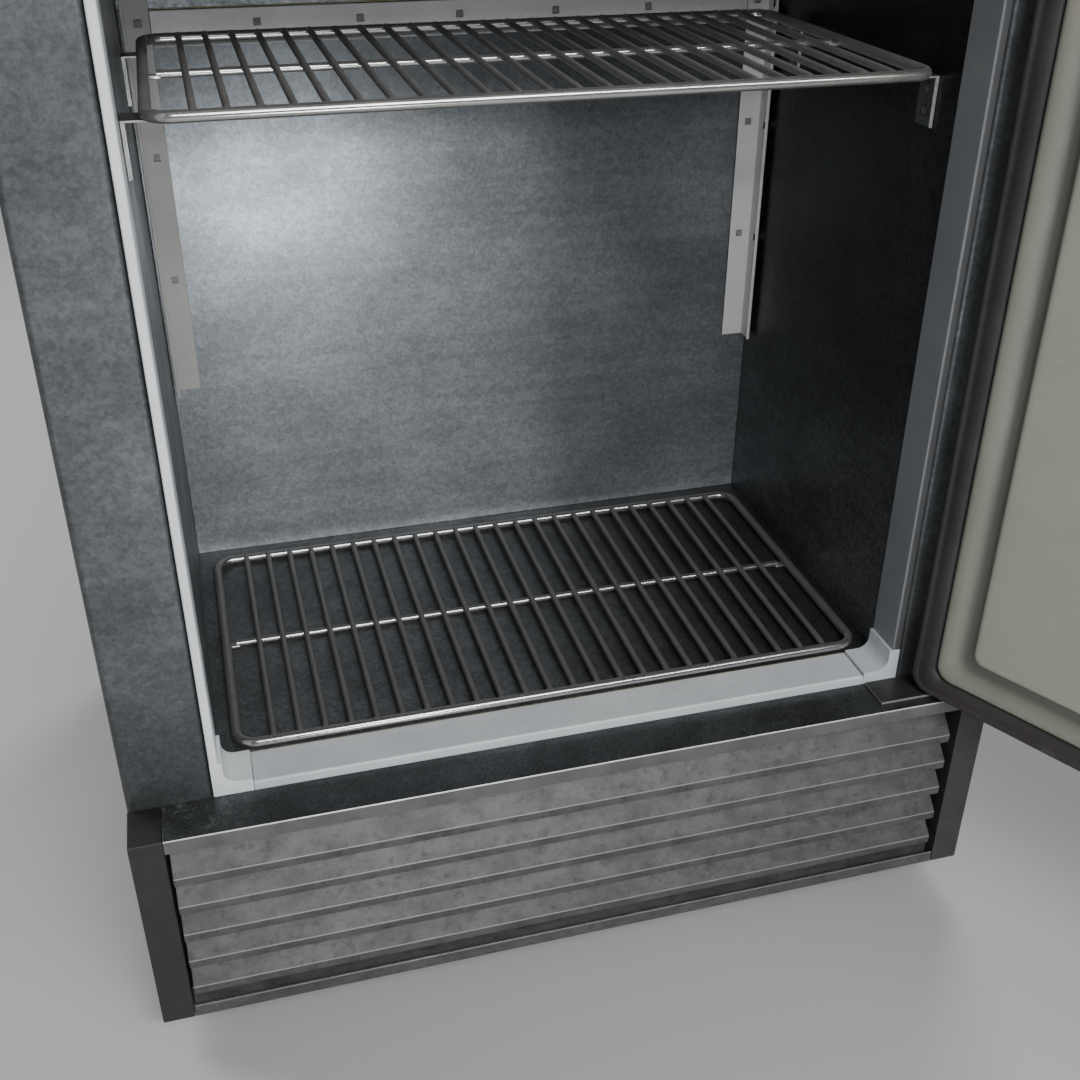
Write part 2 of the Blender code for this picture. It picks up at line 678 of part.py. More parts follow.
def make_cooling():
    core = (FRONT + 0.435, FRONT + 0.475)
    coil = block("evaporator_coil", (-0.20, 0.20), core, (0.530, 0.680), "aluminium")
    fins = [
        (
            (-0.196 + 0.016 * i, -0.188 + 0.016 * i),
            (core[0] - 0.01, core[0] + 0.012),
            (0.52, 0.69),
        )
        for i in range(25)
    ]
    cut(coil, blocks("fins", fins))
    y = FRONT + 0.412
    fan_blade("evaporator_fan_blade", (0, y, EVAP_FAN_Z), 0.040, 0.016, 5, "black")
    motor = turned(
        "evaporator_fan_motor",
        [(0.016, 0.012), (0.022, 0.015), (0.022, 0.050), (0.012, 0.054)],
        (0, y, EVAP_FAN_Z),
        "Y",
        12,
        "black",
    )
    join(motor, block("strap", mid(0, 0.130), (y + 0.022, y + 0.024), mid(EVAP_FAN_Z, 0.014)))

    face = ROOM_BACK - GAP
    z = mid(0.745, 0.056)
    block("thermostat_body", mid(0.150, 0.046), (face - 0.024, face), z, "black", 0.003)
    knob = turned(
        "thermostat_knob",
        [(0.014, 0.0), (0.014, 0.009), (0.0125, 0.011)],
        (0, 0, 0),
        "Y",
        16,
        "knob",
    )
    knob.data.transform(Matrix.Rotation(math.pi, 4, "Z"))
    join(knob, block("grip", mid(0, 0.005), (-0.017, -0.008), mid(0, 0.024)))
    knob.location = (0.150, face - 0.024 - GAP, 0.745)

    x = mid(FAN_X, 0.300)
    coil = block("condenser_coil", x, (FACE + 0.0145, FACE + 0.0595), CONDENSER_Z, "aluminium")
    fins = [
        (
            (x[0] + 0.006 + 0.012 * i, x[0] + 0.012 + 0.012 * i),
            (FACE, FACE + 0.030),
            (0.0, 0.15),
        )
        for i in range(24)
    ]
    cut(coil, blocks("fins", fins))
    near = FACE + 0.0600
    shroud = block("condenser_fan_shroud", x, (near, near + 0.030), CONDENSER_Z, "galvanised")
    middle = sum(CONDENSER_Z) / 2
    inside = (x[0] + SHEET, x[1] - SHEET)
    cut(
        shroud,
        block("inside", inside, (near - 0.01, near + 0.0285), (0.0135, 0.1345)),
        turned("ring", [(0.057, 0), (0.057, 0.1)], (FAN_X, near, middle), "Y", 24),
    )
    y = near + 0.028
    fan_blade("condenser_fan_blade", (FAN_X, y, middle), 0.054, 0.020, 5, "black", -1)
    motor = turned(
        "condenser_fan_motor",
        [(0.020, 0.015), (0.030, 0.019), (0.030, 0.066), (0.018, 0.070)],
        (FAN_X, y, middle),
        "Y",
        12,
        "black",
    )
    join(motor, block("strap", mid(FAN_X, 0.160), (y + 0.022, y + 0.025), mid(middle, 0.018)))

    x, y, r = COMPRESSOR
    profile = [
        (0.5 * r, 0.016),
        (0.9 * r, 0.024),
        (r, 0.045),
        (r, 0.095),
        (0.93 * r, 0.112),
        (0.72 * r, 0.127),
        (0.35 * r, 0.136),
    ]
    shell = turned("compressor", profile, (x, y, 0), sides=20, finish="black")
    plate = block("plate", mid(x, 0.150), mid(y, 0.150), (0.0142, 0.0182))
    foot = [(0.009, 0.0028), (0.009, 0.0160)]
    pads = [
        turned("pad", foot, (x + a * 0.062, y + b * 0.062, 0), sides=8)
        for a in (-1, 1)
        for b in (-1, 1)
    ]
    join(shell, plate, *pads)

    pan = block("condensate_pan", (-0.270, -0.060), (0.030, 0.210), (0.0027, 0.0320), "black")
    cut(pan, block("inside", (-0.268, -0.062), (0.032, 0.208), (0.0047, 0.05)))
    deep = (BACK - 0.046, BACK - 0.002)
    inlet = block("power_inlet_box", mid(-0.265, 0.066), deep, mid(0.090, 0.046), "black")
    cut(inlet, block("socket", mid(-0.265, 0.030), (BACK - 0.020, BACK), mid(0.090, 0.020)))

    start = Vector((x - 0.75 * r, y + 0.75 * r, 0.100))
    path = [
        start,
        start + Vector((-0.008, 0.012, 0)),
        (LINE_X, 0.186, 0.104),
        (LINE_X, 0.190, 0.116),
        (LINE_X, 0.190, 0.500),
        (LINE_X, 0.187, 0.510),
        (LINE_X, FRONT + 0.455, 0.522),
    ]
    tube("refrigerant_line", path, 0.0045, 8, finish="copper")


def make_feet():
    names = ("front_left", "front_right", "rear_left", "rear_right")
    places = [(s * FOOT_X, y) for y in FOOT_Y for s in (-1, 1)]
    for name, (x, y) in zip(names, places):
        profile = [
            (0.018, 0),
            (0.020, 0.002),
            (0.020, 0.008),
            (0.012, 0.011),
            (0.012, 0.018),
            (0.005, 0.0182),
            (0.005, FOOT_DROP + 0.020),
        ]
        foot = turned(f"foot_{name}", profile, (0, 0, 0), sides=16, finish="stainless")
        foot.location = (x, y, -FOOT_DROP)


def door_loop(inset, y, radius=None):
    """The door's outline drawn in by an inset, at one depth."""
    if radius is None:
        radius = max(DOOR_RADIUS - inset, 0.004)
    x = (-DOOR_HALF + inset, DOOR_HALF - inset)
    z = (DOOR_Z[0] + inset, DOOR_Z[1] - inset)
    return [(a, y, b) for a, b in rounded(x, z, radius)]


def make_door():
    skin = 0.0010
    outside = [
        door_loop(0.0060, DOOR_FRONT, 0.012),
        door_loop(0.0018, DOOR_FRONT + 0.0018, 0.012),
        door_loop(0, DOOR_FRONT + 0.0060, 0.012),
        door_loop(0, PAN_BACK, 0.012),
    ]
    inside = [
        door_loop(skin, PAN_BACK, 0.011),
        door_loop(skin, DOOR_FRONT + 0.0062, 0.011),
        door_loop(0.0026, DOOR_FRONT + 0.0026, 0.011),
        door_loop(0.0064, DOOR_FRONT + skin, 0.011),
    ]
    pan = loft("door_pan", outside + inside, "stainless")
    gap = 0.0004
    foam = loft(
        "door_foam",
        [
            door_loop(0.0064 + gap, DOOR_FRONT + skin + gap, 0.0105),
            door_loop(0.0026 + gap, DOOR_FRONT + 0.0026 + gap, 0.0105),
            door_loop(skin + gap, DOOR_FRONT + 0.0062 + gap, 0.0105),
            door_loop(skin + gap, PAN_BACK, 0.0105),
        ],
        "foam",
    )
    reach = 0.026
    bore = PIN_RADIUS + 0.0006
    for piece in (pan, foam):
        sockets = [
            turned("socket", [(bore, a), (bore, b)], (*HINGE, 0), sides=12)
            for a, b in (
                (DOOR_Z[0] - 0.01, DOOR_Z[0] + reach),
                (DOOR_Z[1] - reach, DOOR_Z[1] + 0.01),
            )
        ]
        cut(piece, *sockets)

    back = PAN_BACK + GAP
    rise = GASKET_FACE - PAN_BACK
    section = [
        (0.0012, 0.0),
        (0.0006, 0.35),
        (0.0010, 0.66),
        (0.0022, 0.80),
        (0.0044, 0.91),
        (0.0060, 0.84),
        (0.0080, 0.86),
        (0.0120, 0.98),
        (0.0184, 0.98),
        (0.0202, 0.84),
        (0.0208, 0.0),
    ]
    loops = [door_loop(s, back + (rise - GAP) * h, 0.0135) for s, h in section]
    loft("door_gasket", loops, "gasket", hollow=True)

    section = [
        (0.0212, 0.0),
        (0.0216, 0.62),
        (0.0232, 0.80),
        (0.0262, 0.90),
        (0.0296, 0.90),
        (0.0334, 0.76),
        (0.0366, 0.48),
        (0.0392, 0.20),
        (0.0408, 0.14),
        (0.0488, 0.46),
        (0.0508, 0.78),
        (0.0530, 0.86),
    ]
    loops = [door_loop(s, back + (rise - GAP) * h, 0.0140) for s, h in section]
    loft("door_liner", loops, "liner")

    grip = [
        (DOOR_FRONT - GAP, 0.600),
        (DOOR_FRONT - 0.026, 0.604),
        (DOOR_FRONT - 0.034, 0.612),
        (DOOR_FRONT - 0.034, 0.748),
        (DOOR_FRONT - 0.026, 0.756),
        (DOOR_FRONT - GAP, 0.760),
        (DOOR_FRONT - GAP, 0.742),
        (DOOR_FRONT - 0.022, 0.738),
        (DOOR_FRONT - 0.026, 0.734),
        (DOOR_FRONT - 0.026, 0.626),
        (DOOR_FRONT - 0.022, 0.622),
        (DOOR_FRONT - GAP, 0.618),
    ]
    prism("door_handle", grip, "X", (-0.290, -0.270), "aluminium")

    swing = (
        Matrix.Translation((*HINGE, 0))
        @ Matrix.Rotation(DOOR_OPEN, 4, "Z")
        @ Matrix.Translation((-HINGE[0], -HINGE[1], 0))
    )
    pivot = bpy.data.objects.new("door_pivot", None)
    pivot.location = (*HINGE, DOOR_Z[0])
    bpy.context.scene.collection.objects.link(pivot)
    bpy.context.view_layer.update()
    for name in ("door_pan", "door_foam", "door_gasket", "door_liner", "door_handle"):
        piece = bpy.data.objects[name]
        piece.data.transform(swing)
        piece.parent = pivot
        piece.matrix_parent_inverse = pivot.matrix_world.inverted()


def make_hinges():
    low = DECK_Z + GAP
    plate = block(
        "hinge_bracket_bottom",
        (0.254, 0.335),
        (FRONT + 0.009, FACE - 0.0025),
        (low, low + 0.0025),
        "stainless",
    )
    pin = [(PIN_RADIUS, low + 0.001), (PIN_RADIUS, DOOR_Z[0] + 0.022)]
    join(plate, turned("pin", pin, (*HINGE, 0), sides=12))
    high = DOOR_Z[1] + 0.0015
    plate = block(
        "hinge_bracket_top",
        (0.270, 0.335),
        (FRONT + 0.010, FACE - GAP),
        (high, high + 0.0025),
        "stainless",
    )
    upright = block("upright", (0.270, 0.335), (FACE - 0.0028, FACE - GAP), (high, HEIGHT - 0.004))
    pin = [(PIN_RADIUS, DOOR_Z[1] - 0.022), (PIN_RADIUS, high + 0.001)]
    join(plate, upright, turned("pin", pin, (*HINGE, 0), sides=12))


def move_origin(name, point):
    """Puts an object's origin on its joint axis without moving its shape."""
    moved = bpy.data.objects[name]
    moved.data.transform(Matrix.Translation(-Vector(point)))
    moved.location = point


for leftover in list(bpy.data.objects):
    bpy.data.objects.remove(leftover)

make_shell()
make_compartment()
make_trim()
make_clips()
make_shelf("shelf_lower", *LOWER_SHELF)
make_shelf("shelf_upper", *UPPER_SHELF)
make_grille()
make_cooling()
make_feet()
make_door()
make_hinges()
move_origin("shelf_lower", (SHELF_X, LOWER_SHELF[0], LOWER_SHELF[1]))
move_origin("shelf_upper", (SHELF_X, UPPER_SHELF[0], UPPER_SHELF[1]))
for made in bpy.data.objects:
    if made.type == "MESH":
        made.data.shade_smooth()
        made.data.set_sharp_from_angle(angle=math.radians(35))
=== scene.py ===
"""The undercounter refrigerator's looks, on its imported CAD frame, in metres."""

import math

import bmesh
import bpy
from mathutils import Matrix, Vector


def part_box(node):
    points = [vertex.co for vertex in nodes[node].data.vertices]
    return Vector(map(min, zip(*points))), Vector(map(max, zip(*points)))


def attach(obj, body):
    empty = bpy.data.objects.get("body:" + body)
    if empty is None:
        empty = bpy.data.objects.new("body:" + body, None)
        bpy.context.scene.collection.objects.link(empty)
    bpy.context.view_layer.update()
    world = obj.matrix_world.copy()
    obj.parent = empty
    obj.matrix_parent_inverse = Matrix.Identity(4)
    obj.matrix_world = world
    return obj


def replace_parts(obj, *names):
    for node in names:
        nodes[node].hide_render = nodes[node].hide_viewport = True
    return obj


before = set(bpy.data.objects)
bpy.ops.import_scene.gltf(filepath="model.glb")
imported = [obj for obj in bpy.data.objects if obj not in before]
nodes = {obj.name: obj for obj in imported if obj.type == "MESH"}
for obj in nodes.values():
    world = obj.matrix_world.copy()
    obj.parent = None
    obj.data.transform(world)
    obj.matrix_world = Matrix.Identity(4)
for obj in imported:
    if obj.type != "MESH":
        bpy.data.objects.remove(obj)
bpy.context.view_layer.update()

DOOR_OPEN = math.radians(117.5)
HINGE = Vector((0.3047, -0.2584, 0.0))
SWING = Matrix.Translation(HINGE) @ Matrix.Rotation(DOOR_OPEN, 4, "Z") @ Matrix.Translation(-HINGE)


# ---------------------------------------------------------------- materials


class Look:
    """One procedural material, built from object-space patterns."""

    def __init__(self, name):
        self.made = bpy.data.materials.new(name)
        self.made.use_nodes = True
        self.tree = self.made.node_tree
        self.shader = self.tree.nodes["Principled BSDF"]
        coords = self.node("ShaderNodeTexCoord")
        self.at = coords.outputs["Object"]
        self.normal = coords.outputs["Normal"]

    def node(self, kind):
        return self.tree.nodes.new(kind)

    def link(self, a, b):
        self.tree.links.new(a, b)

    def feed(self, socket, value):
        """Gives a socket a number, a colour or another node's result."""
        if isinstance(value, tuple):
            socket.default_value = (*value, 1.0)
        elif isinstance(value, (int, float)):
            socket.default_value = value
        else:
            self.link(value, socket)

    def noise(self, scale, detail, rough, stretch=None, distort=0.0):
        made = self.node("ShaderNodeTexNoise")
        settings = {"Scale": scale, "Detail": detail, "Roughness": rough, "Distortion": distort}
        for name, number in settings.items():
            made.inputs[name].default_value = number
        source = self.at
        if stretch:
            mapping = self.node("ShaderNodeMapping")
            mapping.inputs["Scale"].default_value = stretch
            self.link(self.at, mapping.inputs["Vector"])
            source = mapping.outputs["Vector"]
        self.link(source, made.inputs["Vector"])
        return made.outputs["Fac"]

    def spangle(self, scale):
        """Crystal flakes, each with its own value."""
        made = self.node("ShaderNodeTexVoronoi")
        made.inputs["Scale"].default_value = scale
        self.link(self.at, made.inputs["Vector"])
        split = self.node("ShaderNodeSeparateColor")
        self.link(made.outputs["Color"], split.inputs["Color"])
        return split.outputs["Red"]

    def axis(self, which, of=None):
        split = self.node("ShaderNodeSeparateXYZ")
        self.link(of or self.at, split.inputs["Vector"])
        return split.outputs[which]

    def band(self, value, low, high, out=(0.0, 1.0)):
        """Maps a value smoothly from one span to another."""
        made = self.node("ShaderNodeMapRange")
        made.interpolation_type = "SMOOTHSTEP"
        for name, number in zip(("From Min", "From Max", "To Min", "To Max"), (low, high, *out)):
            made.inputs[name].default_value = number
        self.link(value, made.inputs["Value"])
        return made.outputs["Result"]

    def maths(self, kind, *values):
        made = self.node("ShaderNodeMath")
        made.operation = kind
        for socket, value in zip(made.inputs, values):
            self.feed(socket, value)
        return made.outputs["Value"]

    def times(self, product, *factors):
        for factor in factors:
            product = self.maths("MULTIPLY", product, factor)
        return product

    def mix(self, factor, a, b, kind="MIX"):
        made = self.node("ShaderNodeMix")
        made.data_type = "RGBA"
        made.blend_type = kind
        for socket, value in zip((made.inputs[0], made.inputs[6], made.inputs[7]), (factor, a, b)):
            self.feed(socket, value)
        return made.outputs[2]

    def tint(self, colour, amount):
        """Multiplies a colour by a tone."""
        return self.mix(1.0, colour, amount, "MULTIPLY")

    def bump(self, height, strength, distance=0.001):
        made = self.node("ShaderNodeBump")
        made.inputs["Strength"].default_value = strength
        made.inputs["Distance"].default_value = distance
        self.link(height, made.inputs["Height"])
        if self.shader.inputs["Normal"].is_linked:
            self.link(self.shader.inputs["Normal"].links[0].from_socket, made.inputs["Normal"])
        self.link(made.outputs["Normal"], self.shader.inputs["Normal"])

    def edge_highlight_and_wear(self, strength, low, high):
        """How far a point sits on the rounded edge between an upper and a forward face; it carries a painted
        highlight, partly wear, along that edge.
        """
        height = self.axis("Z", self.normal)
        rise = self.band(height, low - 0.06, low + 0.06)
        drop = self.band(height, high - 0.06, high + 0.06, (1.0, 0.0))
        forward = self.band(self.axis("Y", self.normal), -0.30, -0.50, (0.0, strength))
        return self.times(rise, drop, forward)

    def hairlines(self, noise, low, high, strength):
        """Thin marks where a noise crosses its middle value."""
        off = self.maths("ABSOLUTE", self.maths("SUBTRACT", noise, 0.5))
        return self.band(self.maths("SUBTRACT", 1.0, off), low, high, (0.0, strength))

    def finish(self, colour, metallic, rough):
        self.feed(self.shader.inputs["Base Color"], colour)
        self.feed(self.shader.inputs["Metallic"], metallic)
        self.feed(self.shader.inputs["Roughness"], rough)
        return self.made


def scaled(colour, by):
    return tuple(min(1.0, c * by) for c in colour)


def sheet_look(name, colour, metallic, rough, cloud, grain, speck=0.0, painted_falls=(), haze=()):
    """Mottled galvanised sheet: clouds, grain, faint streaks, flakes, dull patches and bright specks.

    A painted fall is (axis, low, high, start, end) and multiplies the tone along its axis as painted light
    and shade; a haze adds roughness so.
    """
    look = Look(name)
    clouds = look.noise(11.0, 4.0, 0.55, (1.0, 1.0, 1.5))
    tone = look.band(clouds, 0.30, 0.70, (1 - cloud, 1 + cloud))
    for axis, low, high, start, end in painted_falls:
        tone = look.times(tone, look.band(look.axis(axis), low, high, (start, end)))
    fine = look.band(look.noise(340.0, 3.0, 0.7), 0.3, 0.7, (1 - grain, 1 + grain))
    streaks = look.band(look.noise(60.0, 4.0, 0.6, (0.06, 0.06, 1.6)), 0.35, 0.65, (0.94, 1.06))
    flakes = look.band(look.spangle(210.0), 0.0, 1.0, (1 - 0.6 * grain, 1 + 0.6 * grain))
    paint = look.tint(colour, look.times(tone, fine, streaks, flakes))
    dull = look.band(look.noise(45.0, 8.0, 0.75, (0.7, 0.7, 1.3)), 0.48, 0.74, (0.0, 0.24))
    paint = look.mix(dull, paint, look.tint(paint, (0.62, 0.62, 0.62)))
    if speck:
        spots = look.band(look.noise(900.0, 2.0, 0.5), 0.62, 0.72, (0.0, speck))
        paint = look.mix(spots, paint, look.tint(paint, (1.9, 1.9, 1.9)))
    polish = look.band(look.noise(16.0, 6.0, 0.65), 0.3, 0.7, rough)
    for axis, low, high, start, end in haze:
        polish = look.maths("ADD", polish, look.band(look.axis(axis), low, high, (start, end)))
    look.bump(look.noise(600.0, 2.0, 0.6), 0.04, 0.0004)
    look.bump(look.noise(5.0, 2.0, 0.5), 0.08, 0.002)
    return look.finish(paint, metallic, polish)


def brushed_look(name, colour, stretch, metallic, rough, lines_by=1.0):
    """Brushed metal: fine lines along the axis whose stretch is small, and soft smudges."""
    look = Look(name)
    lines = look.noise(520.0, 4.0, 0.7, stretch)
    tone = look.band(lines, 0.25, 0.75, (1 - 0.18 * lines_by, 1 + 0.14 * lines_by))
    smudge = look.band(look.noise(6.0, 3.0, 0.5), 0.3, 0.75, (1.03, 0.95))
    paint = look.tint(colour, look.times(tone, smudge))
    polish = look.band(look.noise(12.0, 5.0, 0.6), 0.3, 0.7, rough)
    look.bump(lines, 0.18 * lines_by, 0.0003)
    return look.finish(paint, metallic, polish)


def lip_look(name, face, lip, metallic, rough, cloud, edge=(0.3, 0.8)):
    """Bent sheet, sooty and chipped, in one tone on its upward faces and another on its lips, with a painted
    highlight, partly wear, on the rounded edge between them.
    """
    look = Look(name)
    upward = look.band(look.axis("Z", look.normal), *edge)
    base = look.mix(upward, lip, face)
    clouds = look.noise(38.0, 8.0, 0.72, (0.8, 1.0, 1.3))
    clouds = look.band(clouds, 0.36, 0.66, (1 - 0.6 * cloud, 1 + 0.4 * cloud))
    blots = look.band(look.noise(120.0, 6.0, 0.7), 0.30, 0.50, (1 - 0.9 * cloud, 1.0))
    fine = look.band(look.noise(700.0, 2.0, 0.6), 0.3, 0.7, (0.93, 1.07))
    paint = look.tint(base, look.times(clouds, blots, fine))
    chips = look.band(look.noise(150.0, 3.0, 0.55), 0.70, 0.74, (0.0, 0.5))
    paint = look.mix(chips, paint, scaled(face, 1.5))
    # painted highlight, partly wear, along the rounded edge between face and lip
    paint = look.mix(look.edge_highlight_and_wear(0.85, 0.10, 0.44), paint, scaled(face, 3.2))
    polish = look.band(look.noise(40.0, 5.0, 0.6), 0.3, 0.7, rough)
    look.bump(look.noise(500.0, 2.0, 0.6), 0.10, 0.0004)
    look.bump(look.noise(14.0, 3.0, 0.5), 0.12, 0.0015)
    return look.finish(paint, metallic, polish)


def plastic_look(name, colour, rough, scratch, grime=None, peel=0.06):
    """Moulded plastic or paint: faint blotches, hairline scratches and, if asked, soft grime."""
    look = Look(name)
    tone = look.band(look.noise(14.0, 5.0, 0.6), 0.3, 0.7, (0.93, 1.05))
    fine = look.band(look.noise(380.0, 3.0, 0.65), 0.3, 0.7, (0.96, 1.04))
    paint = look.tint(colour, look.times(tone, fine))
    if scratch:
        hair = look.noise(38.0, 2.0, 0.5, (1.0, 0.25, 3.0), distort=1.6)
        paint = look.mix(look.hairlines(hair, 0.9965, 0.9995, scratch), paint, scaled(colour, 1.35))
    if grime:
        stain = look.band(look.noise(20.0, 6.0, 0.65), 0.42, 0.68, (0.0, 0.55))
        paint = look.mix(stain, paint, grime)
    polish = look.band(look.noise(24.0, 4.0, 0.6), 0.3, 0.7, rough)
    look.bump(look.noise(450.0, 2.0, 0.6), peel, 0.0004)
    return look.finish(paint, 0.0, polish)


def wire_look(name, tone):
    """Coated wire: a dull grainy skin, worn smooth on the rods that run across."""
    look = Look(name)
    grains = look.band(look.noise(1100.0, 3.0, 0.7), 0.3, 0.7, (0.60, 1.40))
    worn = look.band(look.noise(30.0, 4.0, 0.6), 0.35, 0.65, (0.92, 1.08))
    # tone makes a shelf's wire lighter or darker, as painted light and shade
    paint = look.tint(scaled((0.27, 0.262, 0.248), tone), look.times(grains, worn))
    across = look.maths("ABSOLUTE", look.axis("Y", look.normal))
    smooth = look.band(across, 0.12, 0.40, (0.58, 0.19))
    polish = look.times(smooth, look.band(look.noise(60.0, 4.0, 0.6), 0.3, 0.7, (0.92, 1.08)))
    look.link(look.band(across, 0.12, 0.40, (2.4, 5.2)), look.shader.inputs["IOR"])
    return look.finish(paint, 0.25, polish)


def deck_look():
    """Dark worn deck: grainy black top with whitish scuffs by its left end, greyer front lip, and a painted
    highlight, partly wear, along its front edge.
    """
    look = Look("dark_deck_look")
    upward = look.band(look.axis("Z", look.normal), 0.3, 0.8)
    grains = look.band(look.noise(520.0, 4.0, 0.75), 0.35, 0.70, (0.55, 1.5))
    clouds = look.band(look.noise(18.0, 6.0, 0.65), 0.35, 0.7, (0.7, 1.3))
    top = look.tint((0.052, 0.056, 0.058), look.times(grains, clouds))
    lip = look.tint((0.14, 0.14, 0.135), look.band(look.noise(30.0, 6.0, 0.6), 0.3, 0.7, (0.8, 1.15)))
    paint = look.mix(upward, lip, top)
    near = look.band(look.axis("X"), -0.33, -0.22, (1.0, 0.0))
    scuffs = look.band(look.noise(95.0, 8.0, 0.75, distort=0.2), 0.54, 0.68, (0.0, 0.55))
    paint = look.mix(look.times(near, scuffs, upward), paint, (0.30, 0.31, 0.30))
    dust = look.band(look.noise(90.0, 6.0, 0.7), 0.60, 0.75, (0.0, 0.25))
    paint = look.mix(look.times(dust, upward), paint, (0.16, 0.17, 0.17))
    # painted highlight, partly wear, along the deck's rounded front edge
    paint = look.mix(look.edge_highlight_and_wear(0.9, 0.20, 0.80), paint, (0.62, 0.62, 0.60))
    polish = look.band(look.noise(45.0, 5.0, 0.65), 0.3, 0.7, (0.26, 0.5))
    look.bump(look.noise(420.0, 3.0, 0.7), 0.22, 0.0004)
    return look.finish(paint, 0.35, polish)


def rubber_look():
    """Dark rubber with a dusty grain and brownish mottling low down."""
    look = Look("dark_gasket_look")
    grains = look.band(look.noise(750.0, 3.0, 0.7), 0.3, 0.7, (0.8, 1.25))
    clouds = look.band(look.noise(22.0, 5.0, 0.6), 0.3, 0.7, (0.85, 1.12))
    paint = look.tint((0.040, 0.040, 0.039), look.times(grains, clouds))
    low = look.band(look.axis("Z"), 0.200, 0.216, (1.0, 0.0))
    stain = look.band(look.noise(75.0, 6.0, 0.65), 0.40, 0.62, (0.0, 0.85))
    paint = look.mix(look.times(low, stain), paint, (0.050, 0.036, 0.036))
    pale = look.band(look.noise(60.0, 5.0, 0.6), 0.55, 0.72, (0.0, 0.35))
    paint = look.mix(look.times(low, pale), paint, (0.17, 0.15, 0.145))
    polish = look.band(look.noise(30.0, 4.0, 0.6), 0.3, 0.7, (0.42, 0.60))
    look.bump(look.noise(650.0, 2.0, 0.6), 0.20, 0.0004)
    return look.finish(paint, 0.0, polish)


def liner_look():
    """Cream liner: hairline scratches, faint dirt, painted shade over its raised border and in its groove,
    grime in the groove too, and a slight orange peel.
    """
    look = Look("cream_liner_look")
    tone = look.band(look.noise(10.0, 5.0, 0.6), 0.3, 0.7, (0.94, 1.04))
    fine = look.band(look.noise(520.0, 3.0, 0.65), 0.3, 0.7, (0.965, 1.035))
    paint = look.tint((0.385, 0.380, 0.322), look.times(tone, fine))
    for scale, stretch, width, strength in (
        (26.0, (1.0, 1.0, 2.2), 0.9960, 0.50),
        (60.0, (1.6, 1.6, 0.5), 0.9966, 0.40),
    ):
        hair = look.noise(scale, 1.0, 0.5, stretch, distort=2.2)
        gate = look.band(look.noise(scale * 0.35, 3.0, 0.6), 0.50, 0.62)
        marks = look.hairlines(hair, width, 0.9996, strength)
        paint = look.mix(look.times(marks, gate), paint, (0.60, 0.59, 0.55))
    dirt = look.band(look.noise(13.0, 6.0, 0.65), 0.52, 0.75, (0.0, 0.30))
    paint = look.mix(dirt, paint, (0.33, 0.315, 0.250))
    # painted shade over the raised border, painted shade and grime in the groove, from a value on the
    # moulding's vertices
    shade_and_soil = look.node("ShaderNodeAttribute")
    shade_and_soil.attribute_name = "shade_and_soil"
    paint = look.mix(look.times(shade_and_soil.outputs["Fac"], 0.64), paint, (0.0, 0.0, 0.0))
    polish = look.band(look.noise(30.0, 4.0, 0.6), 0.3, 0.7, (0.34, 0.52))
    look.bump(look.noise(160.0, 3.0, 0.55), 0.05, 0.0006)
    return look.finish(paint, 0.0, polish)


def trim_look():
    """The right strip's plastic in painted shade: darker than the other strips, darkest on its front where
    the open door's shadow is painted, a little lighter on its jamb that faces into the mouth.
    """
    look = Look("painted_shade_trim_look")
    tone = look.band(look.noise(14.0, 5.0, 0.6), 0.3, 0.7, (0.94, 1.05))
    fine = look.band(look.noise(700.0, 3.0, 0.7), 0.3, 0.7, (0.90, 1.10))
    inward = look.band(look.axis("X", look.normal), -0.80, -0.30, (1.0, 0.0))
    # painted shade: the jamb facing into the mouth in a mid grey, the front darker still
    base = look.mix(inward, (0.075, 0.077, 0.080), (0.260, 0.268, 0.280))
    paint = look.tint(base, look.times(tone, fine))
    polish = look.band(look.noise(24.0, 4.0, 0.6), 0.3, 0.7, (0.28, 0.42))
    look.bump(look.noise(450.0, 2.0, 0.6), 0.06, 0.0004)
    return look.finish(paint, 0.0, polish)


def clip_look():
    """A dull plated clip, its turned front edge and other forward faces painted bright as a painted
    highlight.
    """
    look = Look("shelf_clip_look")
    forward = look.band(look.axis("Y", look.normal), -0.9, -0.45, (1.0, 0.0))
    # painted highlight on the faces that look forward
    base = look.mix(forward, (0.130, 0.136, 0.133), (0.42, 0.42, 0.41))
    fine = look.band(look.noise(600.0, 3.0, 0.7), 0.3, 0.7, (0.85, 1.15))
    clouds = look.band(look.noise(60.0, 5.0, 0.6), 0.3, 0.7, (0.85, 1.15))
    paint = look.tint(base, look.times(fine, clouds))
    polish = look.band(look.noise(50.0, 4.0, 0.6), 0.3, 0.7, (0.34, 0.50))
    look.bump(look.noise(500.0, 2.0, 0.6), 0.08, 0.0003)
    return look.finish(paint, 0.45, polish)


def rivet_look():
    """A rivet of the clip's metal, near black in the groove and on the slanted faces round its head."""
    look = Look("rivet_look")
    flat = look.band(look.maths("ABSOLUTE", look.axis("X", look.normal)), 0.80, 0.97)
    fine = look.band(look.noise(600.0, 3.0, 0.7), 0.3, 0.7, (0.85, 1.15))
    paint = look.tint(look.mix(flat, (0.010, 0.010, 0.010), (0.150, 0.156, 0.153)), fine)
    polish = look.band(look.noise(90.0, 3.0, 0.6), 0.3, 0.7, (0.34, 0.5))
    return look.finish(paint, 0.4, polish)


